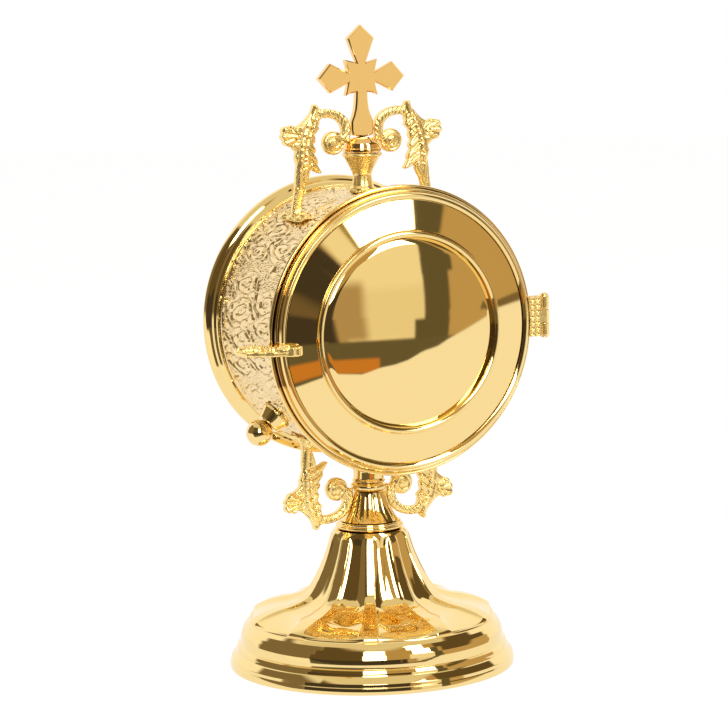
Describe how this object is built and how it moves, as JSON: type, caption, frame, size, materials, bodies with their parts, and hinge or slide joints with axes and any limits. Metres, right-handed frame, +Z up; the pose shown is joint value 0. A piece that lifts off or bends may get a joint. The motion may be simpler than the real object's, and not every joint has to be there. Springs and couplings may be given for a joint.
{
  "type": "luna holder",
  "caption": "Gold-plated luna holder: a round case with a hinged door and ball-headed retaining pin, on a fluted foot, with cast scrolls, vase finial and cross.",
  "frame": {"origin": "centre of the foot's underside, on the surface the holder stands on", "axes": "+Z up along the stem, -Y out of the door, +X towards the hinge"},
  "size_m": [0.1269, 0.1086, 0.2424],
  "materials": {
    "gold_polished": "polished gold plate",
    "gold_cast": "cast and gold plated",
    "gold_satin": "satin gold plate",
    "gold_chased": "chased matte gold plate",
    "brass_plain": "plain turned brass"
  },
  "bodies": {
    "case": {"foot_shell": "gold_polished", "base_plate": "brass_plain", "foot_washer": "brass_plain", "foot_nut": "brass_plain", "tie_rod": "brass_plain", "stem_collar": "gold_polished", "stem_cone": "gold_polished", "stem_ring": "gold_polished", "saddle_cup": "gold_cast", "drum_band": "gold_chased", "front_rim": "gold_polished", "back_rim": "gold_polished", "back_cover": "gold_polished", "luna_seat": "gold_polished", "hinge_case_leaf": "gold_cast", "hinge_pin": "gold_cast", "drum_washer": "brass_plain", "drum_nut": "brass_plain", "pin_boss": "gold_polished", "finial_vase": "gold_polished", "finial_cap": "gold_cast", "finial_stud": "brass_plain", "finial_nut": "brass_plain", "cross": "gold_satin", "scroll_upper_right": "gold_cast", "scroll_upper_left": "gold_cast", "scroll_lower_right": "gold_cast", "scroll_lower_left": "gold_cast"},
    "door": {"door_ring": "gold_polished", "door_panel": "gold_polished", "door_pull": "gold_cast", "hinge_door_leaf": "gold_cast"},
    "pin": {"retaining_pin": "gold_polished"}
  },
  "joints": [
    {"name": "door_hinge", "type": "hinge", "parent": "case", "child": "door", "pos_m": [0.0598, -0.0313, 0.1323], "axis": [0, 0, 1], "range_deg": [0, 160]},
    {"name": "pin_slide", "type": "slide", "parent": "case", "child": "pin", "axis": [-0.7604, 0, -0.6494], "range_m": [0, 0.0045]}
  ]
}
